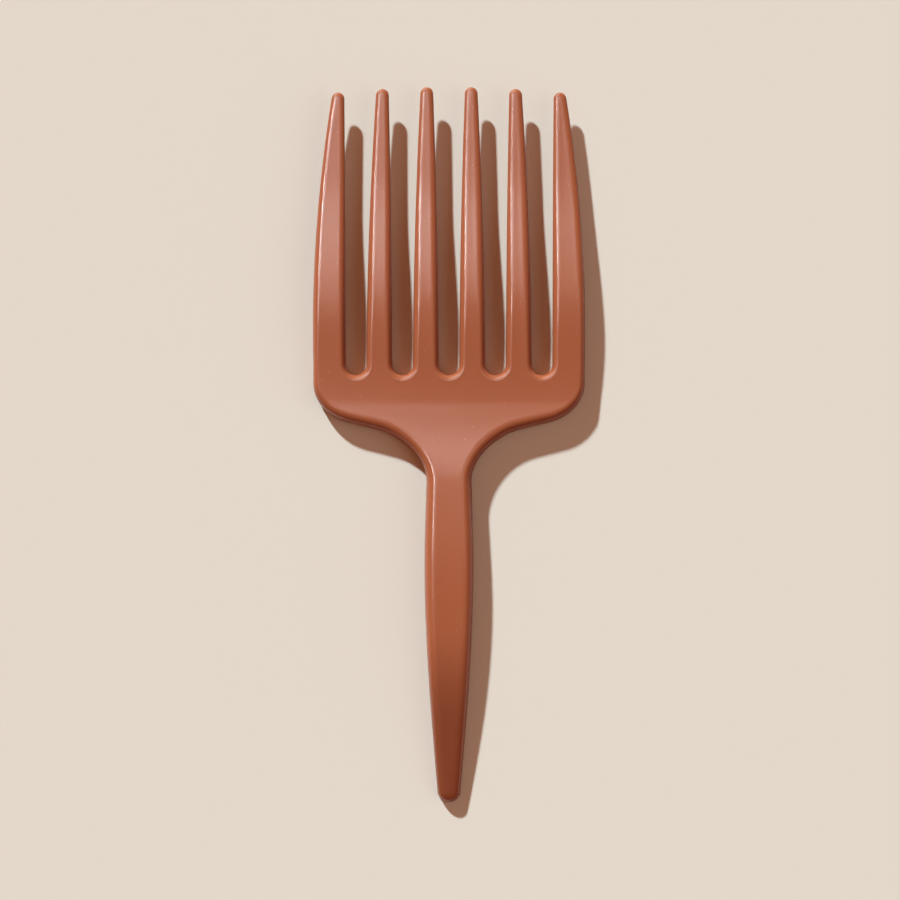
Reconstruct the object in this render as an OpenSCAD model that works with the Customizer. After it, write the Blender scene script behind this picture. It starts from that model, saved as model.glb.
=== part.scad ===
// A six-tine afro pick, lying on its back, with its tines along +Y and its show face up.
// The real pick is one plastic moulding. Here each tine, the bar that joins their roots, the
// shoulders and the handle are solids of their own, which meet face to face.

/* [Tines] */
// Number of tines
tine_count = 6; // [4:1:8]
// Length of the middle tines, from their roots to their tips
tine_l = 77.4; // [60:0.2:95]
// Distance between tine centres at the roots
root_pitch = 13; // [11.5:0.1:15]
// Distance between tine centres at the tips
tip_pitch = 12.4; // [11:0.1:15]
// Width of each slot at its closed end
slot_w = 5.75; // [4.5:0.05:7]
// Width of a tine just under its rounded tip
tip_w = 3.6; // [2.6:0.1:4.4]
// Width of the two outer tines at their roots
outer_w = 9.1; // [7:0.1:12]
// Radius of the arc that all the tips lie on
tip_arc_r = 313; // [200:1:600]

/* [Head] */
// Distance from the tine roots to the narrowest place of the neck
plate_l = 32.6; // [29:0.2:40]
// Size of the rounded lower corners of the head, across the head
corner_w = 14; // [9:0.1:15]
// Size of the rounded lower corners of the head, along the head
corner_l = 11.1; // [8:0.1:12]
// Slope of the shoulders, in degrees
shoulder_angle = 14; // [10:1:20]

/* [Handle] */
// Distance from the neck to the end of the handle
grip_l = 90; // [70:1:120]
// Distance from the neck to the widest place of the handle
grip_drop = 23; // [15:1:35]
// Width of the neck
neck_w = 12.6; // [10:0.1:16]
// Width of the handle at its widest place
grip_w = 13.7; // [11:0.1:18]
// Width of the handle just above its rounded end
end_w = 6.4; // [5:0.1:10]

/* [Side view] */
// Height of the show face at the tips
top_tip = 5.2; // [4.6:0.1:7]
// Height of the show face at the crest of the tines
top_crest = 6.3; // [5.4:0.1:8]
// Height of the show face at the valley across the head
top_valley = 4.6; // [3.8:0.1:6]
// Height that the show face rises on each side of the valley, across its crease
crease_rise = 0.06; // [0.02:0.01:0.15]
// Width of the crease along the valley
crease_w = 5; // [1.6:0.1:7]
// Height of the show face at the foot of the neck
top_foot = 4.9; // [4.2:0.05:6.2]
// Height of the show face at the neck
top_neck = 5.8; // [5.3:0.1:8]
// Height of the show face at the widest place of the handle
top_grip = 6.4; // [5.5:0.1:8]
// Height of the show face at the end of the handle
top_end = 2.9; // [2.4:0.1:4.5]
// Height of the back under the tips
under_tip = 3.2; // [1:0.1:3.6]
// Height of the back under the crest of the tines
under_crest = 2; // [1:0.1:3]
// Height of the back under the grip
under_grip = 0.6; // [0.3:0.1:1.5]
// Depth that the flat sole is dressed off the back of the head
sole_dip = 0.35; // [0.2:0.05:0.8]

/* [Edges] */
// Width of the rounding along the edges of the head
head_run = 2.1; // [1.4:0.1:2.6]
// Width of the rounding along the edges of the handle
grip_run = 3.1; // [2:0.1:4]

/* [Hidden] */
terracotta = [0.66, 0.36, 0.25];

// Places along the length, with the origin at the middle of it
overall_l = tine_l + plate_l + grip_l;
y_tip = overall_l / 2;
y_end = -overall_l / 2;
y_root = y_tip - tine_l;
y_neck = y_end + grip_l;
y_grip = y_neck - grip_drop;
bar_margin = 0.3;
y_bar = y_root - slot_w / 2 - head_run - bar_margin;
valley_share = 0.325;
y_valley = y_root - plate_l * valley_share;
foot_share = 0.55;
y_foot = y_root - plate_l * foot_share;
crest_share = 0.265;
y_crest = y_root + tine_l * crest_share;
level_share = 0.68;
y_level = y_root + tine_l * level_share;
level_dip = 0.2;
heel_share = 0.87;
y_heel = y_neck - grip_l * heel_share;

// Widths across the head
slot_r = slot_w / 2;
tine_w = root_pitch - slot_w;
head_half = (tine_count / 2 - 1) * root_pitch + slot_r + outer_w;
tine_swell_share = 0.78;
flank_swell_share = 1.3;
round_share = 0.96;
edge_run = min(head_run, tine_w / 2 * round_share);

// The curve from the shoulder into the neck
shoulder_end_share = 0.525;
shoulder_pull = 6.8;
neck_pull = 6.5;

// How finely the curves are divided
edge_steps = 5;
nose_steps = 5;
nose_angle = 80;
tine_steps = 12;
slot_steps = 10;
corner_steps = 8;
curve_steps = 12;
grip_steps = 9;
handle_steps = 14;
overrun = 5;

// Heights of the show face and of the back, each as [place, height] along the length
top_knots = [
    [y_end, top_end],
    [y_grip, top_grip],
    [y_neck, top_neck],
    [y_foot, top_foot],
    [y_valley - crease_w / 2, top_valley + crease_rise],
    [y_valley, top_valley],
    [y_valley + crease_w / 2, top_valley + crease_rise],
    [y_crest, top_crest],
    [y_level, top_tip - level_dip],
    [y_tip, top_tip],
];
under_knots = [
    [y_end, 0],
    [y_heel, 0],
    [y_grip, under_grip],
    [y_valley, -sole_dip],
    [y_root, -sole_dip],
    [y_crest, under_crest],
    [y_tip, under_tip],
];
run_knots = [
    [y_end, grip_run],
    [y_neck, grip_run],
    [y_bar, edge_run],
    [y_tip, edge_run],
];
width_knots = [
    [y_end + end_w / 2, end_w / 2],
    [y_grip, grip_w / 2],
    [y_neck, neck_w / 2],
];

// A smooth curve through knots that never overshoots them
function secant(k, i) = (k[i + 1][1] - k[i][1]) / (k[i + 1][0] - k[i][0]);
function inner_slope(a, b) = a * b <= 0 ? 0 : 2 * a * b / (a + b);
function slope(k, i) =
    i == 0 ? (3 * secant(k, 0) - (len(k) > 2 ? inner_slope(secant(k, 0), secant(k, 1)) : secant(k, 0))) / 2
    : i == len(k) - 1 ? secant(k, i - 1)
    : inner_slope(secant(k, i - 1), secant(k, i));
function span_of(k, y, i = 0) = i >= len(k) - 2 || y <= k[i + 1][0] ? i : span_of(k, y, i + 1);
function hermite(a, b, ta, tb, u) =
    a * (1 + 2 * u) * pow(1 - u, 2) + b * u * u * (3 - 2 * u)
    + ta * u * pow(1 - u, 2) - tb * u * u * (1 - u);
function along(k, y) =
    let (i = span_of(k, y), l = k[i + 1][0] - k[i][0], u = max(0, min(1, (y - k[i][0]) / l)))
    hermite(k[i][1], k[i + 1][1], slope(k, i) * l, slope(k, i + 1) * l, u);

function mix(a, b, u) = a + (b - a) * u;
function swell(u, share) = u + share * u * (1 - u);
function mid_z(y) = (along(top_knots, y) + along(under_knots, y)) / 2;
function half_t(y) = (along(top_knots, y) - along(under_knots, y)) / 2;

// Points across a strip from its left edge to its right, each [x, y, middle height, half thickness].
// Both edges are rounded over the run, which is measured across the strip, and shrink scales the section.
function edge_angles() = [for (k = [0:edge_steps]) 90 * k / edge_steps];
function strip_row(y, left, right, run, shrink = 1) =
    let (
        c = (left + right) / 2,
        half = (right - left) / 2 * shrink,
        e = min(run * shrink, half * round_share),
        t = half_t(y) * shrink
    )
    [
        for (a = edge_angles()) [c - half + e * (1 - cos(a)), y, mid_z(y), t * sin(a)],
        for (a = edge_angles()) [c + half - e * (1 - sin(a)), y, mid_z(y), t * cos(a)],
    ];

// A closed solid over a grid of [x, y, middle height, half thickness] points.
// Rows run up the page and points to the right, or both turned the same way.
module slab(rows) {
    n = len(rows);
    m = len(rows[0]);
    upper = [for (r = rows) for (p = r) [p[0], p[1], p[2] + p[3]]];
    lower = [for (r = rows) for (p = r) [p[0], p[1], p[2] - p[3]]];
    function up(i, j) = i * m + j;
    function low(i, j) = rows[i][j][3] < 1e-6 ? up(i, j) : n * m + up(i, j);
    function quad(a, b, c, d) = [[a, b, c], [a, c, d]];
    faces = [
        for (i = [0:n - 2]) for (j = [0:m - 2]) each quad(up(i, j), up(i + 1, j), up(i + 1, j + 1), up(i, j + 1)),
        for (i = [0:n - 2]) for (j = [0:m - 2]) each quad(low(i, j), low(i, j + 1), low(i + 1, j + 1), low(i + 1, j)),
        for (j = [0:m - 2]) each quad(low(0, j), up(0, j), up(0, j + 1), low(0, j + 1)),
        for (j = [0:m - 2]) each quad(low(n - 1, j + 1), up(n - 1, j + 1), up(n - 1, j), low(n - 1, j)),
        for (i = [0:n - 2]) each quad(low(i + 1, 0), up(i + 1, 0), up(i, 0), low(i, 0)),
        for (i = [0:n - 2]) each quad(low(i, m - 1), up(i, m - 1), up(i + 1, m - 1), low(i + 1, m - 1)),
    ];
    polyhedron(
        points = concat(upper, lower),
        faces = [for (f = faces) if (f[0] != f[1] && f[1] != f[2] && f[2] != f[0]) f],
        convexity = 6
    );
}

// Everything under the plane that the pick rests on
module below_sole() {
    translate([-head_half - overrun, y_end - overrun, -overrun])
        cube([2 * (head_half + overrun), overall_l + 2 * overrun, overrun]);
}

module dressed() {
    color(terracotta)
        difference() {
            children();
            below_sole();
        }
}

// A tine's two edges run from root to tip, and the outer tines share their flanks with the head
function tine_place(i) = i - (tine_count + 1) / 2;
function tip_x(i) = tine_place(i) * tip_pitch;
function tip_y(i) = y_tip - (pow(tip_x(i), 2) - pow(tip_x(floor(tine_count / 2) + 1), 2)) / (2 * tip_arc_r);
function flank(i, side) = side < 0 ? i == 1 : i == tine_count;
function root_edge(i, side) = flank(i, side) ? side * head_half : tine_place(i) * root_pitch + side * tine_w / 2;
function tine_edge(i, side, y) =
    let (
        y_full = tip_y(i) - tip_w / 2,
        u = max(0, min(1, (y_full - y) / (y_full - y_root)))
    )
    mix(tip_x(i) + side * tip_w / 2, root_edge(i, side),
        swell(u, flank(i, side) ? flank_swell_share : tine_swell_share));
function tine_row(i, y, shrink = 1) =
    strip_row(y, tine_edge(i, -1, y), tine_edge(i, 1, y), along(run_knots, y), shrink);

module tine(i) {
    y_full = tip_y(i) - tip_w / 2;
    dressed()
        slab([
            for (k = [0:tine_steps]) tine_row(i, mix(y_root, y_full, k / tine_steps)),
            for (k = [1:nose_steps])
                let (a = nose_angle * k / nose_steps)
                tine_row(i, y_full + tip_w / 2 * sin(a) / sin(nose_angle), cos(a)),
        ]);
}

// The bar that joins the tine roots, with a half-round end to each slot in its upper edge
function slot_x(s) = (s - tine_count / 2) * root_pitch;
function slot_gap(x, y) = min([
    for (s = [1:tine_count - 1]) norm([x - slot_x(s), min(0, y - y_root)]) - slot_r
]);
function round_t(d, y) =
    let (u = max(0, min(1, d / edge_run)))
    half_t(y) * sqrt(max(0, 1 - pow(1 - u, 2)));
function bar_top(x) =
    let (s = [for (s = [1:tine_count - 1]) if (abs(x - slot_x(s)) < slot_r) slot_x(s)])
    len(s) == 0 ? y_root : y_root - sqrt(pow(slot_r, 2) - pow(x - s[0], 2));
function bar_point(x, y) =
    let (d = min(slot_gap(x, y), head_half - abs(x)))
    [x, y, mid_z(y), round_t(d, y)];
function bar_ys(x) = [
    for (a = edge_angles()) bar_top(x) - edge_run * (1 - cos(a)) * (bar_top(x) - y_bar) / (y_root - y_bar),
    y_bar,
];
function tine_xs(i) = [for (p = tine_row(i, y_root)) p[0]];
function slot_xs(s) = [for (k = [1:slot_steps - 1]) slot_x(s) - slot_r * cos(180 * k / slot_steps)];

module head_bar() {
    dressed()
        slab([
            for (i = [1:tine_count]) each [
                for (x = tine_xs(i)) [for (y = bar_ys(x)) bar_point(x, y)],
                for (x = i < tine_count ? slot_xs(i) : []) [for (y = bar_ys(x)) bar_point(x, y)],
            ],
        ]);
}

// Right-hand outline of the head below the bar, from the neck up, each [half width, place, share of
// the edge's normal that points sideways]
corner_x = head_half - corner_w;
corner_start = -atan(corner_l / (corner_w * tan(shoulder_angle)));
function corner_at(a) = [corner_x + corner_w * cos(a), y_bar + corner_l * sin(a)];
shoulder_top = corner_at(corner_start);
shoulder_x = head_half * shoulder_end_share;
shoulder_low = [shoulder_x, shoulder_top[1] - (shoulder_top[0] - shoulder_x) * tan(shoulder_angle)];
function bezier(p, u) =
    pow(1 - u, 3) * p[0] + 3 * u * pow(1 - u, 2) * p[1] + 3 * u * u * (1 - u) * p[2] + pow(u, 3) * p[3];
function bezier_way(p, u) =
    pow(1 - u, 2) * (p[1] - p[0]) + 2 * u * (1 - u) * (p[2] - p[1]) + u * u * (p[3] - p[2]);
neck_curve = [
    [neck_w / 2, y_neck],
    [neck_w / 2, y_neck + neck_pull],
    shoulder_low + shoulder_pull * [-cos(shoulder_angle), -sin(shoulder_angle)],
    shoulder_low,
];
function sideways(way) = way[1] / norm(way);
shoulder_outline = [
    for (k = [0:curve_steps])
        let (u = k / curve_steps, p = bezier(neck_curve, u), way = bezier_way(neck_curve, u))
        [p[0], p[1], sideways(way)],
    for (k = [0:corner_steps])
        let (a = mix(corner_start, 0, k / corner_steps), p = corner_at(a))
        [p[0], p[1], sideways([-corner_w * sin(a), corner_l * cos(a)])],
];
module shoulders() {
    dressed()
        slab([
            for (p = shoulder_outline) strip_row(p[1], -p[0], p[0], along(run_knots, p[1]) / p[2]),
        ]);
}

module handle() {
    r = end_w / 2;
    color(terracotta)
        slab([
            for (k = [nose_steps:-1:1])
                let (a = nose_angle * k / nose_steps)
                strip_row(y_end + r - r * sin(a) / sin(nose_angle), -r, r, grip_run, cos(a)),
            for (k = [0:handle_steps + grip_steps])
                let (
                    y = k < handle_steps
                        ? mix(y_end + r, y_grip, k / handle_steps)
                        : mix(y_grip, y_neck, (k - handle_steps) / grip_steps),
                    w = along(width_knots, y)
                )
                strip_row(y, -w, w, along(run_knots, y)),
        ]);
}

for (i = [1:tine_count]) {
    tine(i);
}
head_bar();
shoulders();
handle();
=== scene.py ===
import math

import bpy
import numpy as np
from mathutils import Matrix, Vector
from mathutils.kdtree import KDTree


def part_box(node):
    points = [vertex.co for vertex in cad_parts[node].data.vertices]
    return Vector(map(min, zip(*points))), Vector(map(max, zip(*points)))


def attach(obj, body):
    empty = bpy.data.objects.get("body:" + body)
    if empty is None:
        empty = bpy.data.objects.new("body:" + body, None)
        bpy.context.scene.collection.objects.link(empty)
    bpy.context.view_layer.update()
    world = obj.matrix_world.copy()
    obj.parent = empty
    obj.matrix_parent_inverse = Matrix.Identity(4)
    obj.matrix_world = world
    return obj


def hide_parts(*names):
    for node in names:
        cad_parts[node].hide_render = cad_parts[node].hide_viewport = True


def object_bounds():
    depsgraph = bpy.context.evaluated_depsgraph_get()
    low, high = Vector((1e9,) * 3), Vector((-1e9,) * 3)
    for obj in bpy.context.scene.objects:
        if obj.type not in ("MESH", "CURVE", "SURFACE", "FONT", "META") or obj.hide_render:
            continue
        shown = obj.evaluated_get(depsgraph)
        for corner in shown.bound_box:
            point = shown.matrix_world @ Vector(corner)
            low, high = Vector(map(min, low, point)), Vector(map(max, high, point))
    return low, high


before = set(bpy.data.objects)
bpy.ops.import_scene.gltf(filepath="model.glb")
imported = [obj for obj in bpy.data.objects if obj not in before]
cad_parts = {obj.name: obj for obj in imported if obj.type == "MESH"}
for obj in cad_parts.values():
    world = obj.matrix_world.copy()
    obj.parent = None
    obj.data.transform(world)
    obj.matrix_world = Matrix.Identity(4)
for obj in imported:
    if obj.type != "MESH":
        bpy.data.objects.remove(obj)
cad_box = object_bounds()

# A six-tine afro pick, lying on its back. One continuous moulded skin is worked out for the whole pick
# from its outline and its side profile, and then divided where the nodes of the frame meet.

# Lengths are in metres, and most are written as millimetres
MM = 0.001

# Places and sizes that the frame gives
TINE_COUNT = sum(name.startswith("tine_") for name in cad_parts)
TINES = [f"tine_{i}" for i in range(1, TINE_COUNT + 1)]
Y_END = cad_box[0][1]
Y_TIP = cad_box[1][1]
Y_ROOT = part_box("tine_1")[0].y
Y_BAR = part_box("head_bar")[0].y
Y_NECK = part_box("handle")[1].y
HEAD_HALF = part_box("head_bar")[1].x
TIP_PLACES = [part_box(name)[1].y for name in TINES]
TINE_L = Y_TIP - Y_ROOT
HEAD_L = Y_ROOT - Y_NECK
HANDLE_L = Y_NECK - Y_END

# The tines. A swell tells how far an edge bows out between tip and root, and is 0 for a straight edge.
# The flanks are the outermost edges, which carry on the sides of the head.
ROOT_PITCH = 13 * MM
TIP_PITCH = 12.4 * MM
SLOT_W = 5.75 * MM
TIP_W = 3.6 * MM
TINE_SWELL = 0.78
FLANK_SWELL = 1.286
TINE_HALF = (ROOT_PITCH - SLOT_W) / 2

# The head: its rounded lower corners, the straight slope of its shoulders, and the curve from there into
# the neck, which is pulled along the slope at one end and along the handle at the other
CORNER_W = 14 * MM
CORNER_L = 11.4 * MM
SHOULDER_SLOPE = math.radians(14)
SHOULDER_END_SHARE = 0.525
SHOULDER_PULL = 6.8 * MM
NECK_PULL = 6.5 * MM

# The handle: its widths at the neck, at its widest place and at its rounded end
NECK_W = 12.6 * MM
GRIP_W = 13.7 * MM
END_W = 6.4 * MM

# Places along the side profile. Their shares are of the length of the tines, the head or the handle.
GRIP_DROP = 23 * MM
SLOPE_DROP = 13 * MM
PARTING_RISE_L = 9 * MM
CREST_SHARE = 0.265
LEVEL_SHARE = 0.68
VALLEY_SHARE = 0.325
FOOT_SHARE = 0.55
HEEL_SHARE = 0.87
Y_GRIP = Y_NECK - GRIP_DROP
Y_SLOPE = Y_BAR - SLOPE_DROP
Y_CREST = Y_ROOT + CREST_SHARE * TINE_L
Y_LEVEL = Y_ROOT + LEVEL_SHARE * TINE_L
Y_VALLEY = Y_ROOT - VALLEY_SHARE * HEAD_L
Y_FOOT = Y_ROOT - FOOT_SHARE * HEAD_L
Y_HEEL = Y_NECK - HEEL_SHARE * HANDLE_L

# Half the width of the crease in the valley, and how far below the floor the back would be at the sole
CREASE_HALF = 2.5 * MM
SOLE_DIP = 0.35 * MM

# Height of the show face, along the pick
TOP_KNOTS = [
    (Y_END, 2.9 * MM),
    (Y_GRIP, 6.4 * MM),
    (Y_NECK, 5.95 * MM),
    (Y_FOOT, 4.85 * MM),
    (Y_VALLEY - CREASE_HALF, 4.66 * MM),
    (Y_VALLEY, 4.6 * MM),
    (Y_VALLEY + CREASE_HALF, 4.66 * MM),
    (Y_CREST, 6.3 * MM),
    (Y_LEVEL, 5 * MM),
    (Y_TIP, 5.2 * MM),
]

# Height of the back. Where it would be below the floor, the skin is eased to the flat sole.
UNDER_KNOTS = [
    (Y_END, 0),
    (Y_HEEL, 0),
    (Y_GRIP, 0.6 * MM),
    (Y_VALLEY, -SOLE_DIP),
    (Y_ROOT, -SOLE_DIP),
    (Y_CREST, 2 * MM),
    (Y_TIP, 3.7 * MM),
]

# Width of the edge rounding
RUN_KNOTS = [
    (Y_END, 3 * MM),
    (Y_NECK, 3 * MM),
    (Y_SLOPE, 3.4 * MM),
    (Y_BAR, 1.9 * MM),
    (Y_ROOT, 1.7 * MM),
    (Y_CREST, 2.1 * MM),
    (Y_TIP, 1.7 * MM),
]

# Height of the parting line, as a share of the thickness
PARTING_SHARES = [
    (Y_END, 0.1),
    (Y_END + PARTING_RISE_L, 0.35),
    (Y_NECK, 0.35),
    (Y_SLOPE, 0.3),
    (Y_ROOT, 0.5),
    (Y_TIP, 0.5),
]

# Half the width of the handle
WIDTH_KNOTS = [
    (Y_END + END_W / 2, END_W / 2),
    (Y_GRIP, GRIP_W / 2),
    (Y_NECK, NECK_W / 2),
]

# Details of the moulding: the parting line, which stands proud of the sides and flares towards them, the
# boxiness of the edge rounding, the slight sink of the flat faces inside it, and the eased rim of the sole
PARTING_PROUD = 0.07 * MM
PARTING_HALF = 0.1 * MM
PARTING_FLARE = 0.5
EDGE_POWER = 2.5
SINK_DEPTH = 0.02 * MM
SINK_START_SHARE = 0.85
SINK_REACH_KNOTS = [
    (Y_END, 3.5 * MM),
    (Y_NECK, 3.5 * MM),
    (Y_BAR, 1.6 * MM),
    (Y_TIP, 1.6 * MM),
]
SOLE_EASE = 0.06 * MM

# How finely the surfaces are divided
EDGE_STEPS = 12
TOP_STEPS = 8
ARC_STEPS = 24
BAR_ROWS = 8
PLATE_STEPS = 36
TINE_ROWS = 110
NOSE_ROWS = 14
CORNER_ROWS = 26
SLOPE_ROWS = 16
NECK_ROWS = 44
HANDLE_ROWS = 120
OUTLINE_STEP = 0.08 * MM
SLOPE_STEP = 0.01 * MM

# The grid that points are welded on, and the least length that a normal is divided by
WELD = 1e-8
LEAST_LENGTH = 1e-30

# How far the handles of a cubic curve reach where it draws a quarter of a circle, as a share of the radius
QUARTER_SHARE = 0.5523

# The plastic: its two close shades and the streaks they lie in, its roughness, and its fine grain
PLASTIC_DARK = (157, 83, 55)
PLASTIC_LIGHT = (164, 88, 60)
STREAK_SCALE = 55
STREAK_STRETCH = (1, 0.25, 1)
ROUGHNESS_SCALE = 400
ROUGHNESS_RANGE = (0.2, 0.225)
PLASTIC_SPECULAR = 0.5
GRAIN_SCALE = 3200
GRAIN_STRENGTH = 0.3
GRAIN_DEPTH = 0.01 * MM

# The dust: its colour and how well it covers, the scale of its random cells, the draws from 0 to 1 that
# give a cell its speck, where a speck fades out, and how far up the surface has to face
DUST_COLOUR = (226, 176, 150)
DUST_COVER = 0.55
DUST_SCALE = 450
DUST_CHANCE = (0.965, 0.97)
DUST_REACH = (0.03, 0.07)
DUST_FACING = (0.75, 0.9)

# The floor
FLOOR_SIZE = 6
FLOOR_COLOUR = (232, 218, 203)
FLOOR_ROUGHNESS = 0.9
FLOOR_SPECULAR = 0.1

# The sun-like lamps, each with its azimuth from +Y towards -X, its elevation, its power, its angular
# size, its colour and whether it shows in reflections
FLOOR_KEY = (27.6, 22.3, 6.9, 2.5, (0.716, 0.917, 1), False)
FLOOR_FILL = (-100, 24, 0.85, 70, (0.85, 1, 0.95), False)
BODY_KEY = (22, 30, 3.42, 6, (0.85, 1, 0.95), False)
BODY_SOFT = (28, 30, 2.9, 56, (0.78, 1, 0.99), True)

# The flag that shades the lower handle from the key light: the middle of its lower edge, and its size
FLAG_PLACE = (-42 * MM, 32 * MM, 65 * MM)
FLAG_SIZE = (200 * MM, 60 * MM)

# The overhead softboxes that show only as sheen, each with how far it leans from straight above the
# pick, across it and along it, its power, its width and its length
OVERHEAD_HEIGHT = 1.1
SHEEN_COLOUR = (0.9, 0.98, 1)
SHEEN = {
    "sheen_tines": (-1, 15, 0.19, 0.08, 0.08),
    "sheen_tines_left": (-13, 13, 0.7, 0.08, 0.08),
    "sheen_tines_top": (-5, 19, 0.22, 0.08, 0.08),
    "sheen_tines_right": (4, 19, 0.15, 0.08, 0.08),
    "sheen_neck": (-9, 2, 0.15, 0.08, 0.08),
    "sheen_neck_left": (-21, 2, 1, 0.08, 0.07),
    "sheen_neck_low": (-20, -6, 0.15, 0.08, 0.08),
    "sheen_middle": (-1, 8, 0.13, 0.08, 0.08),
    "sheen_right": (12, 3, 0.12, 0.08, 0.08),
    "sheen_line": (-25.6, 14, 1.7, 0.035, 0.08),
}

# The light of the room, kept low and warm
ROOM_COLOUR = (1, 0.37, 0.18, 1)
ROOM_STRENGTH = 0.27

# The camera, straight above the pick. Its sensor and lens are in millimetres.
CAMERA_PLACE = (0.28 * MM, -1.26 * MM, 904 * MM)
CAMERA_SENSOR = 36
CAMERA_LENS = 128.9


def inner_slope(a, b):
    """The slope at a knot between two rises, which is level where the curve turns."""
    return 0 if a * b <= 0 else 2 * a * b / (a + b)


def curve_through(knots):
    """A smooth curve through (place, value) knots that never overshoots them."""
    places, values = np.array(knots, float).T
    rises = np.diff(values) / np.diff(places)
    slopes = np.empty(len(places))
    slopes[1:-1] = [inner_slope(a, b) for a, b in zip(rises[:-1], rises[1:])]
    slopes[0] = (3 * rises[0] - slopes[1]) / 2
    slopes[-1] = rises[-1]

    def at(y):
        y = np.clip(y, places[0], places[-1])
        i = np.clip(np.searchsorted(places, y, side="left") - 1, 0, len(places) - 2)
        length = places[i + 1] - places[i]
        u = (y - places[i]) / length
        return (
            values[i] * (1 + 2 * u) * (1 - u) ** 2
            + values[i + 1] * u * u * (3 - 2 * u)
            + slopes[i] * length * u * (1 - u) ** 2
            - slopes[i + 1] * length * u * u * (1 - u)
        )

    return at


top_at = curve_through(TOP_KNOTS)
under_at = curve_through(UNDER_KNOTS)
run_at = curve_through(RUN_KNOTS)
parting_at = curve_through(PARTING_SHARES)
width_at = curve_through(WIDTH_KNOTS)
sink_reach_at = curve_through(SINK_REACH_KNOTS)


def mix(a, b, u):
    return a + (b - a) * u


def unit(v):
    v = np.asarray(v, float)
    return v / np.linalg.norm(v)


def turned(way):
    """The direction a quarter turn to the left of way."""
    return np.array([-way[1], way[0]])


def mirrored(v):
    """A place or a direction on the other side of the pick's middle line."""
    return np.array([-v[0], v[1]])


def bezier(points, u):
    """The place and the way at a share u of a cubic curve."""
    a, b, c, d = (np.asarray(p, float) for p in points)
    place = (1 - u) ** 3 * a + 3 * u * (1 - u) ** 2 * b + 3 * u * u * (1 - u) * c + u**3 * d
    way = (1 - u) ** 2 * (b - a) + 2 * u * (1 - u) * (c - b) + u * u * (d - c)
    return place, way


def quarter_round(start, way, apex, steps):
    """Places and ways along a quarter round that leaves start along way and reaches apex level."""
    radius = abs(apex[1] - start[1])
    width = apex[0] - start[0]
    hold = np.asarray(start) + unit(way) * radius * QUARTER_SHARE
    points = (start, hold, (apex[0] - width * QUARTER_SHARE, apex[1]), apex)
    return [bezier(points, k / steps) for k in range(1, steps + 1)]


# Where the rounding of an edge has its points, as shares of the run, and how many an edge band has
ROUND_ANGLES = np.linspace(0, math.pi / 2, EDGE_STEPS + 1)[1:-1]
ROUND_SHARES = np.r_[1 - np.cos(ROUND_ANGLES) ** (2 / EDGE_POWER), 1]
BAND_POINTS = len(ROUND_SHARES) + 2


def edge_band(place, inward, run):
    """Points from the outline inwards, in plan: the parting line, its foot, and the rounding."""
    depths = np.r_[0, PARTING_PROUD, PARTING_PROUD + ROUND_SHARES * (run - PARTING_PROUD)]
    return np.asarray(place) + depths[:, None] * unit(inward), depths


def station(left, left_in, right, right_in, steps, even=True):
    """One row across a strip: its left edge band, its flat middle and its right edge band.

    With it go the depths of its points inside the outline, where they are known. The points of the middle
    are evenly spaced, or else closer together towards the edges.
    """
    band_l, depth_l = edge_band(left, left_in, run_at(left[1]))
    band_r, depth_r = edge_band(right, right_in, run_at(right[1]))
    shares = np.linspace(0, 1, steps + 1)[1:-1]
    if not even:
        shares = (1 - np.cos(shares * math.pi)) / 2
    middle = mix(band_l[-1], band_r[-1], shares[:, None])
    closed = np.allclose(left, right)
    flat = np.full(len(middle), depth_l[-1] if closed else np.nan)
    return np.vstack([band_l, middle, band_r[::-1]]), np.r_[depth_l, flat, depth_r[::-1]]


# The outline of each part of the pick, as rows across it from the lowest to the highest


def tine_place(i):
    """How many pitches a tine stands to the right of the middle."""
    return i - (TINE_COUNT + 1) / 2


def tine_edge(i, side, y):
    """The place of a tine's edge at y, and the way it runs towards the tip."""
    flank = (i == 1 and side < 0) or (i == TINE_COUNT and side > 0)
    root = side * HEAD_HALF if flank else tine_place(i) * ROOT_PITCH + side * TINE_HALF
    tip = tine_place(i) * TIP_PITCH + side * TIP_W / 2
    swell = FLANK_SWELL if flank else TINE_SWELL
    y_full = TIP_PLACES[i - 1] - TIP_W / 2
    u = (y_full - y) / (y_full - Y_ROOT)
    x = mix(tip, root, u + swell * u * (1 - u))
    slope = -(root - tip) * (1 + swell - 2 * swell * u) / (y_full - Y_ROOT)
    return np.array([x, y]), np.array([slope, 1])


def tine_rows(i):
    """Rows from the root of a tine up to its round tip."""
    y_tip = TIP_PLACES[i - 1]
    y_full = y_tip - TIP_W / 2
    rows = []
    for y in np.linspace(Y_ROOT, y_full, TINE_ROWS + 1):
        left, way_l = tine_edge(i, -1, y)
        right, way_r = tine_edge(i, 1, y)
        if y == Y_ROOT:
            way_l = way_r = np.array([0, 1])
        rows.append(station(left, -turned(way_l), right, turned(way_r), TOP_STEPS))
    apex = (tine_place(i) * TIP_PITCH, y_tip)
    round_l = quarter_round(*tine_edge(i, -1, y_full), apex, NOSE_ROWS)
    round_r = quarter_round(*tine_edge(i, 1, y_full), apex, NOSE_ROWS)
    for (left, way_l), (right, way_r) in zip(round_l, round_r):
        rows.append(station(left, -turned(way_l), right, turned(way_r), TOP_STEPS))
    return rows


def corner_place(angle):
    """A place on the rounded lower right corner of the head, which is a quarter of an ellipse."""
    return np.array([
        HEAD_HALF - CORNER_W + CORNER_W * math.cos(angle),
        Y_BAR + CORNER_L * math.sin(angle),
    ])


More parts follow.
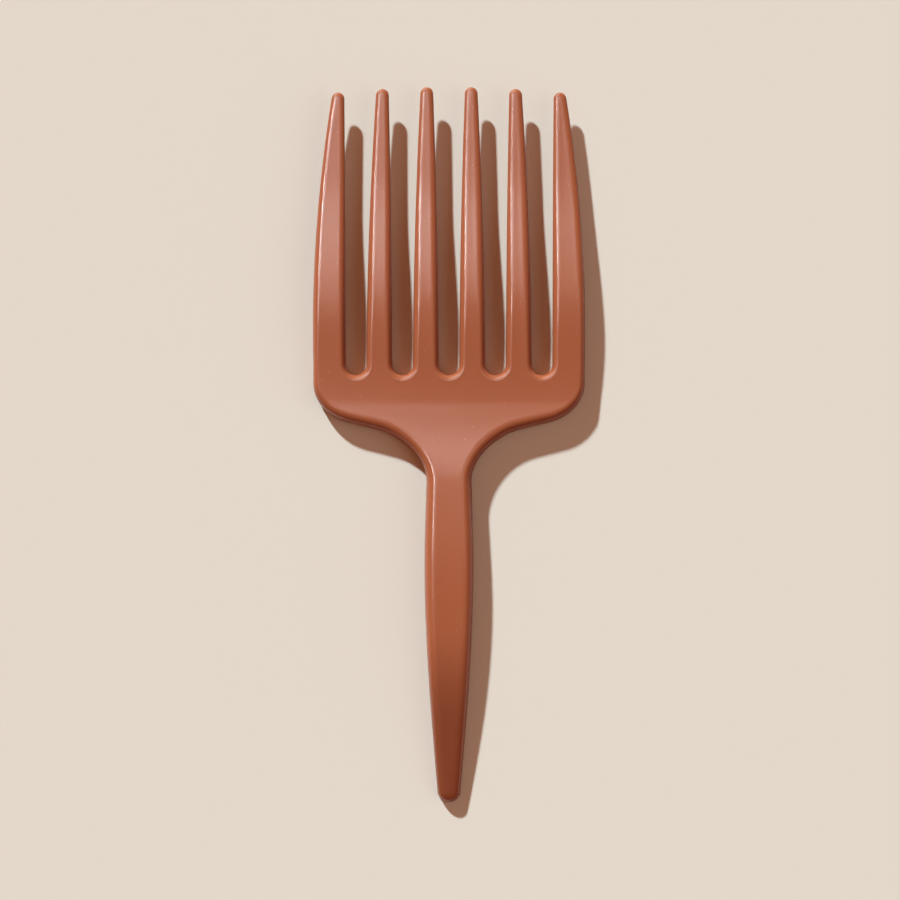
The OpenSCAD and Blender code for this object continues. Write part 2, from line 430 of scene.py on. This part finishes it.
def shoulder_outline():
    """The right-hand edge from the neck up to the bar, as places and ways."""
    start = -math.atan(CORNER_L / (CORNER_W * math.tan(SHOULDER_SLOPE)))
    top = corner_place(start)
    low_x = HEAD_HALF * SHOULDER_END_SHARE
    low = np.array([low_x, top[1] - (top[0] - low_x) * math.tan(SHOULDER_SLOPE)])
    slope_way = np.array([math.cos(SHOULDER_SLOPE), math.sin(SHOULDER_SLOPE)])
    neck = (
        (NECK_W / 2, Y_NECK),
        (NECK_W / 2, Y_NECK + NECK_PULL),
        low - SHOULDER_PULL * slope_way,
        low,
    )
    line = [bezier(neck, k / NECK_ROWS) for k in range(NECK_ROWS + 1)]
    line += [(mix(low, top, k / SLOPE_ROWS), slope_way) for k in range(1, SLOPE_ROWS + 1)]
    for k in range(1, CORNER_ROWS + 1):
        angle = mix(start, 0, k / CORNER_ROWS)
        way = np.array([-CORNER_W * math.sin(angle), CORNER_L * math.cos(angle)])
        line.append((corner_place(angle), way))
    return line


def strip(outline):
    """Rows of a strip that is the same on both sides, from its right-hand edge."""
    rows = []
    for place, way in outline:
        inward = turned(way)
        rows.append(station(mirrored(place), mirrored(inward), place, inward, PLATE_STEPS, even=False))
    return rows


def handle_outline():
    """The right-hand edge from the rounded end of the handle up to the neck, as places and ways."""
    y_full = Y_END + END_W / 2
    line = []
    for y in np.linspace(y_full, Y_NECK, HANDLE_ROWS + 1):
        slope = 0
        if y_full < y < Y_NECK:
            slope = (width_at(y + SLOPE_STEP) - width_at(y - SLOPE_STEP)) / (2 * SLOPE_STEP)
        line.append((np.array([width_at(y), y]), np.array([slope, 1])))
    nose = quarter_round(line[0][0], (0, -1), (0, Y_END), NOSE_ROWS)
    return [(place, -way) for place, way in reversed(nose)] + line


def slot_band(s):
    """The edge band round the closed end of a slot, from its left end to its right end."""
    centre = np.array([(s - TINE_COUNT / 2) * ROOT_PITCH, Y_ROOT])
    rows = []
    for k in range(ARC_STEPS + 1):
        angle = math.pi * (1 + k / ARC_STEPS)
        outward = np.array([math.cos(angle), math.sin(angle)])
        # Exact at both ends, where the band meets the roots of two tines
        if k in (0, ARC_STEPS):
            outward = np.array([-1.0 if k == 0 else 1.0, 0.0])
        rows.append(edge_band(centre + outward * SLOT_W / 2, outward, run_at(Y_ROOT)))
    return rows


def edge_distance(lines):
    """A function that tells how far places lie from the outline, by points set closely along it."""
    points = []
    for line in lines:
        line = np.asarray(line)
        for a, b in zip(line[:-1], line[1:]):
            count = max(1, math.ceil(np.linalg.norm(b - a) / OUTLINE_STEP))
            points += [mix(a, b, k / count) for k in range(count)]
    tree = KDTree(len(points))
    for k, p in enumerate(points):
        tree.insert((p[0], p[1], 0), k)
    tree.balance()
    return lambda places: np.array([tree.find((p[0], p[1], 0))[2] for p in places])


def height(places, depths, distance_at):
    """Upper and lower heights of the skin at points in plan."""
    y = places[..., 1]
    run = run_at(y)
    top, under = top_at(y), under_at(y)
    parting = mix(under, top, parting_at(y))
    known = ~np.isnan(depths)
    distance = depths.copy()
    distance[~known] = distance_at(places[~known])
    share = np.clip((distance - PARTING_PROUD) / (run - PARTING_PROUD), 0, 1)
    curve = (1 - (1 - share) ** EDGE_POWER) ** (1 / EDGE_POWER)
    line = PARTING_HALF + PARTING_FLARE * np.clip(distance, 0, PARTING_PROUD)
    start = run * SINK_START_SHARE
    into = np.clip((distance - start) / sink_reach_at(y), 0, 1)
    sink = SINK_DEPTH * (1 - (1 - into) ** 2)
    upper = parting + np.maximum((top - parting) * curve, line) - sink
    lower = parting - np.maximum((parting - under) * curve, line) + sink
    return upper, (lower + np.sqrt(lower**2 + SOLE_EASE**2)) / 2


def quads_of(grid):
    """Quads between neighbouring points of a grid, facing up where columns run right and rows run up."""
    corners = [grid[:-1, :-1], grid[:-1, 1:], grid[1:, 1:], grid[1:, :-1]]
    return np.stack(corners, axis=2).reshape(-1, 4, 3)


def wall(up, low):
    """Quads between an upper and a lower line, facing right where the lines run up."""
    return np.stack([up[:-1], low[:-1], low[1:], up[1:]], axis=1)


def stitched(near, far):
    """Triangles between two lines of points that both run to the right, with far further up the pick.

    Each is a quad with its last corner doubled.
    """
    faces, i, j = [], 0, 0
    while i < len(near) - 1 or j < len(far) - 1:
        step_near = j == len(far) - 1 or (i < len(near) - 1 and near[i + 1][0] <= far[j + 1][0])
        third = near[i + 1] if step_near else far[j + 1]
        faces.append([near[i], third, far[j], far[j]])
        i, j = (i + 1, j) if step_near else (i, j + 1)
    return np.array(faces)


class Skin:
    """The faces of the whole moulding, each filed under its piece.

    Caps are the faces where two pieces meet.
    """

    def __init__(self, distance_at):
        self.distance_at = distance_at
        self.faces, self.owners, self.caps = [], [], []

    def add(self, piece, quads, cap=False):
        quads = np.asarray(quads).reshape(-1, 4, 3)
        self.faces.append(quads)
        self.owners += [piece] * len(quads)
        self.caps += [cap] * len(quads)

    def sheets(self, piece, rows, right_edge=True):
        """The upper and lower faces over a grid of rows, and the walls at the outline.

        There is a wall on the left and, unless the grid has no right edge, one on the right.
        """
        places = np.array([r[0] for r in rows])
        depths = np.array([r[1] for r in rows])
        upper, lower = height(places, depths, self.distance_at)
        up, low = np.dstack([places, upper]), np.dstack([places, lower])
        self.add(piece, quads_of(up))
        self.add(piece, quads_of(low)[:, ::-1])
        self.add(piece, wall(up[:, 0], low[:, 0])[:, ::-1])
        if right_edge:
            self.add(piece, wall(up[:, -1], low[:, -1]))
        return up, low

    def join(self, lower_piece, upper_piece, up, low):
        """The caps of two pieces along the row where they meet."""
        self.add(upper_piece, wall(up, low), cap=True)
        self.add(lower_piece, wall(up, low)[:, ::-1], cap=True)


def outline_lines(tines, slots, shoulders, handle):
    """The lines of points that make up the outline of the pick."""
    lines = []
    for rows in [*tines.values(), shoulders, handle]:
        lines += [[r[0][side] for r in rows] for side in (0, -1)]
    lines += [[r[0][0] for r in rows] for rows in slots.values()]
    lines += [[(side * HEAD_HALF, Y_BAR), (side * HEAD_HALF, Y_ROOT)] for side in (-1, 1)]
    return lines


def add_tines(skin, tines):
    for i, rows in tines.items():
        up, low = skin.sheets(TINES[i - 1], rows)
        skin.join("head_bar", TINES[i - 1], up[0], low[0])


def bar_chain(tines, slots):
    """The upper ends of the bar's columns: the tine roots and, between them, the slots' inner edges."""
    places, depths = [], []
    for i, rows in tines.items():
        row, depth = rows[0]
        first = 0 if i == 1 else BAND_POINTS - 1
        last = len(row) if i == TINE_COUNT else len(row) - BAND_POINTS + 1
        places.append(row[first:last])
        depths.append(depth[first:last])
        if i < TINE_COUNT:
            arc = np.array([r[0][-1] for r in slots[i][1:-1]])
            places.append(arc)
            depths.append(np.full(len(arc), run_at(Y_ROOT)))
    return np.vstack(places), np.concatenate(depths)


def add_bar(skin, tines, slots):
    """The bar: the edge bands round its slots, and columns from its lower end up to the chain."""
    for rows in slots.values():
        skin.sheets("head_bar", rows, right_edge=False)
    chain, chain_depth = bar_chain(tines, slots)
    column = np.arange(len(chain))
    in_bands = (column < BAND_POINTS) | (column >= len(chain) - BAND_POINTS)
    depth_below = np.where(in_bands, chain_depth, np.nan)
    rows = []
    for share in np.linspace(0, 1, BAR_ROWS + 1):
        places = np.column_stack([chain[:, 0], mix(Y_BAR, chain[:, 1], share)])
        rows.append((places, chain_depth if share == 1 else depth_below))
    up, low = skin.sheets("head_bar", rows)
    skin.join("shoulders", "head_bar", up[0], low[0])
    return up[0], low[0]


def add_shoulders(skin, rows, bar_up, bar_low):
    """The shoulders, whose last strip meets the bar's own points."""
    up, low = skin.sheets("shoulders", rows[:-1])
    inner = slice(BAND_POINTS - 1, len(up[-1]) - BAND_POINTS + 1)
    bar_inner = slice(BAND_POINTS - 1, len(bar_up) - BAND_POINTS + 1)
    for near, far, turn in ((up[-1], bar_up, 1), (low[-1], bar_low, -1)):
        skin.add("shoulders", stitched(near[inner], far[bar_inner])[:, ::turn])
        for part in (slice(0, BAND_POINTS), slice(-BAND_POINTS, None)):
            skin.add("shoulders", quads_of(np.array([near[part], far[part]]))[:, ::turn])
    for side, turn in ((0, -1), (-1, 1)):
        ends_up = np.array([up[-1][side], bar_up[side]])
        ends_low = np.array([low[-1][side], bar_low[side]])
        skin.add("shoulders", wall(ends_up, ends_low)[:, ::turn])


def add_handle(skin, rows):
    up, low = skin.sheets("handle", rows)
    skin.join("handle", "shoulders", up[-1], low[-1])


def build_skin():
    """The skin of the whole pick, divided into the pieces that the frame names."""
    tines = {i: tine_rows(i) for i in range(1, TINE_COUNT + 1)}
    slots = {s: slot_band(s) for s in range(1, TINE_COUNT)}
    shoulders = strip(shoulder_outline())
    handle = strip(handle_outline())
    skin = Skin(edge_distance(outline_lines(tines, slots, shoulders, handle)))
    add_tines(skin, tines)
    bar_up, bar_low = add_bar(skin, tines, slots)
    add_shoulders(skin, shoulders, bar_up, bar_low)
    add_handle(skin, handle)
    return skin


def newell(corners):
    """Normals as long as the faces are large, which doubled corners don't disturb."""
    following = np.roll(corners, -1, axis=1)
    return np.cross(corners - corners[:, :1], following - corners[:, :1]).sum(axis=1) / 2


def make_pieces(skin, material):
    """Welds the skin, works out its normals as one surface, and makes a mesh of each piece."""
    faces = np.concatenate(skin.faces)
    points, ids = np.unique(np.round(faces.reshape(-1, 3) / WELD), axis=0, return_inverse=True)
    points, ids = points * WELD, ids.reshape(-1, 4)
    caps, owners = np.array(skin.caps), np.array(skin.owners)
    face_normals = newell(faces)
    normals = np.zeros_like(points)
    for k in range(4):
        np.add.at(normals, ids[~caps, k], face_normals[~caps])
    normals /= np.maximum(np.linalg.norm(normals, axis=1), LEAST_LENGTH)[:, None]
    made = []
    for name in sorted(set(skin.owners)):
        made.append(make_piece(name, points, ids, normals, face_normals, caps, owners == name, material))
    return made


def make_piece(name, points, ids, normals, face_normals, caps, mine, material):
    """The mesh of the faces that are mine, with the shared normals at its corners and flat caps."""
    polygons, corner_normals = [], []
    for f in np.flatnonzero(mine):
        ring = list(dict.fromkeys(ids[f]))
        if len(ring) < 3:
            continue
        polygons.append(ring)
        flat = face_normals[f] / max(np.linalg.norm(face_normals[f]), LEAST_LENGTH)
        corner_normals += [flat if caps[f] else normals[v] for v in ring]
    used, local = np.unique(np.concatenate(polygons), return_inverse=True)
    starts = np.cumsum([0] + [len(p) for p in polygons])
    rings = [local[a:b].tolist() for a, b in zip(starts[:-1], starts[1:])]
    mesh = bpy.data.meshes.new(name + "_skin")
    mesh.from_pydata(points[used].tolist(), [], rings)
    mesh.materials.append(material)
    mesh.polygons.foreach_set("use_smooth", [True] * len(rings))
    mesh.normals_split_custom_set([tuple(n) for n in corner_normals])
    mesh.validate(clean_customdata=False)
    piece = bpy.data.objects.new(name + "_skin", mesh)
    bpy.context.scene.collection.objects.link(piece)
    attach(piece, "root")
    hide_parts(name)
    return piece


def srgb(r, g, b):
    """A colour given as 0 to 255, as the linear values that a shader takes, by the sRGB formula."""
    def linear(c):
        c /= 255
        return c / 12.92 if c <= 0.04045 else ((c + 0.055) / 1.055) ** 2.4

    return (linear(r), linear(g), linear(b), 1)


def satin_plastic():
    material = bpy.data.materials.new("terracotta_plastic")
    material.use_nodes = True
    nodes, links = material.node_tree.nodes, material.node_tree.links
    shader = nodes["Principled BSDF"]
    coordinates = nodes.new("ShaderNodeTexCoord")
    place = coordinates.outputs["Object"]

    def noise(scale, detail, stretch=(1, 1, 1)):
        mapping = nodes.new("ShaderNodeMapping")
        mapping.inputs["Scale"].default_value = stretch
        links.new(place, mapping.inputs["Vector"])
        node = nodes.new("ShaderNodeTexNoise")
        node.inputs["Scale"].default_value = scale
        node.inputs["Detail"].default_value = detail
        links.new(mapping.outputs["Vector"], node.inputs["Vector"])
        return node.outputs["Fac"]

    def blend(factor, a, b):
        node = nodes.new("ShaderNodeMix")
        node.data_type = "RGBA"
        links.new(factor, node.inputs["Factor"])
        for socket, value in (("A", a), ("B", b)):
            if isinstance(value, tuple):
                node.inputs[socket].default_value = value
            else:
                links.new(value, node.inputs[socket])
        return node.outputs["Result"]

    def ramp(value, given, wanted):
        """The value, brought from the range that is given to the one that is wanted."""
        node = nodes.new("ShaderNodeMapRange")
        node.inputs["From Min"].default_value = given[0]
        node.inputs["From Max"].default_value = given[1]
        node.inputs["To Min"].default_value = wanted[0]
        node.inputs["To Max"].default_value = wanted[1]
        links.new(value, node.inputs["Value"])
        return node.outputs["Result"]

    def product(a, b):
        node = nodes.new("ShaderNodeMath")
        node.operation = "MULTIPLY"
        links.new(a, node.inputs[0])
        links.new(b, node.inputs[1])
        return node.outputs["Value"]

    def dust():
        """Sparse specks on what faces up, by their distance from the middles of random cells."""
        cells = nodes.new("ShaderNodeTexVoronoi")
        cells.voronoi_dimensions = "2D"
        cells.inputs["Scale"].default_value = DUST_SCALE
        links.new(place, cells.inputs["Vector"])
        chance = nodes.new("ShaderNodeSeparateColor")
        links.new(cells.outputs["Color"], chance.inputs["Color"])
        facing = nodes.new("ShaderNodeSeparateXYZ")
        links.new(coordinates.outputs["Normal"], facing.inputs["Vector"])
        chosen = ramp(chance.outputs["Red"], DUST_CHANCE, (0, DUST_COVER))
        speck = product(chosen, ramp(cells.outputs["Distance"], DUST_REACH, (1, 0)))
        return product(speck, ramp(facing.outputs["Z"], DUST_FACING, (0, 1)))

    def grain():
        node = nodes.new("ShaderNodeBump")
        node.inputs["Strength"].default_value = GRAIN_STRENGTH
        node.inputs["Distance"].default_value = GRAIN_DEPTH
        links.new(noise(GRAIN_SCALE, detail=2), node.inputs["Height"])
        return node.outputs["Normal"]

    streaks = noise(STREAK_SCALE, detail=3, stretch=STREAK_STRETCH)
    plastic = blend(streaks, srgb(*PLASTIC_DARK), srgb(*PLASTIC_LIGHT))
    roughness = ramp(noise(ROUGHNESS_SCALE, detail=4), (0, 1), ROUGHNESS_RANGE)
    shader.inputs["Specular IOR Level"].default_value = PLASTIC_SPECULAR
    links.new(blend(dust(), plastic, srgb(*DUST_COLOUR)), shader.inputs["Base Color"])
    links.new(roughness, shader.inputs["Roughness"])
    links.new(grain(), shader.inputs["Normal"])
    return material


def pale_floor():
    material = bpy.data.materials.new("pale_floor")
    material.use_nodes = True
    shader = material.node_tree.nodes["Principled BSDF"]
    shader.inputs["Base Color"].default_value = srgb(*FLOOR_COLOUR)
    shader.inputs["Roughness"].default_value = FLOOR_ROUGHNESS
    shader.inputs["Specular IOR Level"].default_value = FLOOR_SPECULAR
    return material


def one_face(name, corners):
    """An object that is a single face."""
    mesh = bpy.data.meshes.new(name)
    mesh.from_pydata(corners, [], [(0, 1, 2, 3)])
    obj = bpy.data.objects.new(name, mesh)
    bpy.context.scene.collection.objects.link(obj)
    return obj


def make_floor():
    half = FLOOR_SIZE / 2
    floor = one_face("floor", [(-half, -half, 0), (half, -half, 0), (half, half, 0), (-half, half, 0)])
    floor.data.materials.append(pale_floor())
    return floor


def make_flag():
    half, top = FLAG_SIZE[0] / 2, FLAG_SIZE[1]
    flag = one_face("flag", [(-half, 0, 0), (half, 0, 0), (half, 0, top), (-half, 0, top)])
    flag.location = FLAG_PLACE
    flag.visible_camera = flag.visible_diffuse = flag.visible_glossy = False
    return flag


def aim(obj, place, target):
    obj.location = place
    obj.rotation_euler = (Vector(target) - Vector(place)).to_track_quat("-Z", "Y").to_euler()


def group(name, objects):
    collection = bpy.data.collections.new(name)
    for obj in objects:
        collection.objects.link(obj)
    return collection


def lamp(name, kind, place, target, blockers, lit=None):
    """A lamp at place that looks at target.

    Only blockers shade it, and where lit is given, it lights nothing else.
    """
    data = bpy.data.lights.new(name, kind)
    obj = bpy.data.objects.new(name, data)
    aim(obj, place, target)
    obj.visible_camera = False
    bpy.context.scene.collection.objects.link(obj)
    obj.light_linking.blocker_collection = group(name + "_blockers", blockers)
    if lit:
        obj.light_linking.receiver_collection = group(name + "_receivers", lit)
    return obj


def sun(name, azimuth, elevation, power, size, colour, shows, lit, blockers):
    turn, rise = math.radians(azimuth), math.radians(elevation)
    way = Vector((-math.sin(turn) * math.cos(rise), math.cos(turn) * math.cos(rise), math.sin(rise)))
    obj = lamp(name, "SUN", way, (0, 0, 0), blockers, lit)
    obj.data.energy = power
    obj.data.angle = math.radians(size)
    obj.data.color = colour
    obj.visible_glossy = shows


def overhead(name, blockers, lean_x, lean_y, power, width, length):
    """A softbox that faces straight down and that shows only in reflections."""
    x, y = (math.tan(math.radians(lean)) * OVERHEAD_HEIGHT for lean in (lean_x, lean_y))
    obj = lamp(name, "AREA", (x, y, OVERHEAD_HEIGHT), (x, y, 0), blockers)
    obj.data.shape = "RECTANGLE"
    obj.data.size = width
    obj.data.size_y = length
    obj.data.energy = power
    obj.data.color = SHEEN_COLOUR
    obj.visible_diffuse = False


def make_room():
    world = bpy.data.worlds.new("studio")
    world.use_nodes = True
    background = world.node_tree.nodes["Background"]
    background.inputs["Color"].default_value = ROOM_COLOUR
    background.inputs["Strength"].default_value = ROOM_STRENGTH
    bpy.context.scene.world = world


def make_lights(pieces, floor):
    sun("floor_key", *FLOOR_KEY, [floor], pieces)
    sun("floor_fill", *FLOOR_FILL, [floor], pieces)
    sun("body_key", *BODY_KEY, pieces, [*pieces, make_flag()])
    sun("body_soft", *BODY_SOFT, pieces, pieces)
    for name, values in SHEEN.items():
        overhead(name, pieces, *values)
    make_room()


def make_camera():
    camera = bpy.data.cameras.new("camera")
    camera.sensor_width = CAMERA_SENSOR
    camera.lens = CAMERA_LENS
    obj = bpy.data.objects.new("camera", camera)
    obj.location = CAMERA_PLACE
    bpy.context.scene.collection.objects.link(obj)
    bpy.context.scene.camera = obj


# The pick, its floor and light, and the camera
pieces = make_pieces(build_skin(), satin_plastic())
make_lights(pieces, make_floor())
make_camera()
bpy.context.scene.view_settings.view_transform = "Standard"
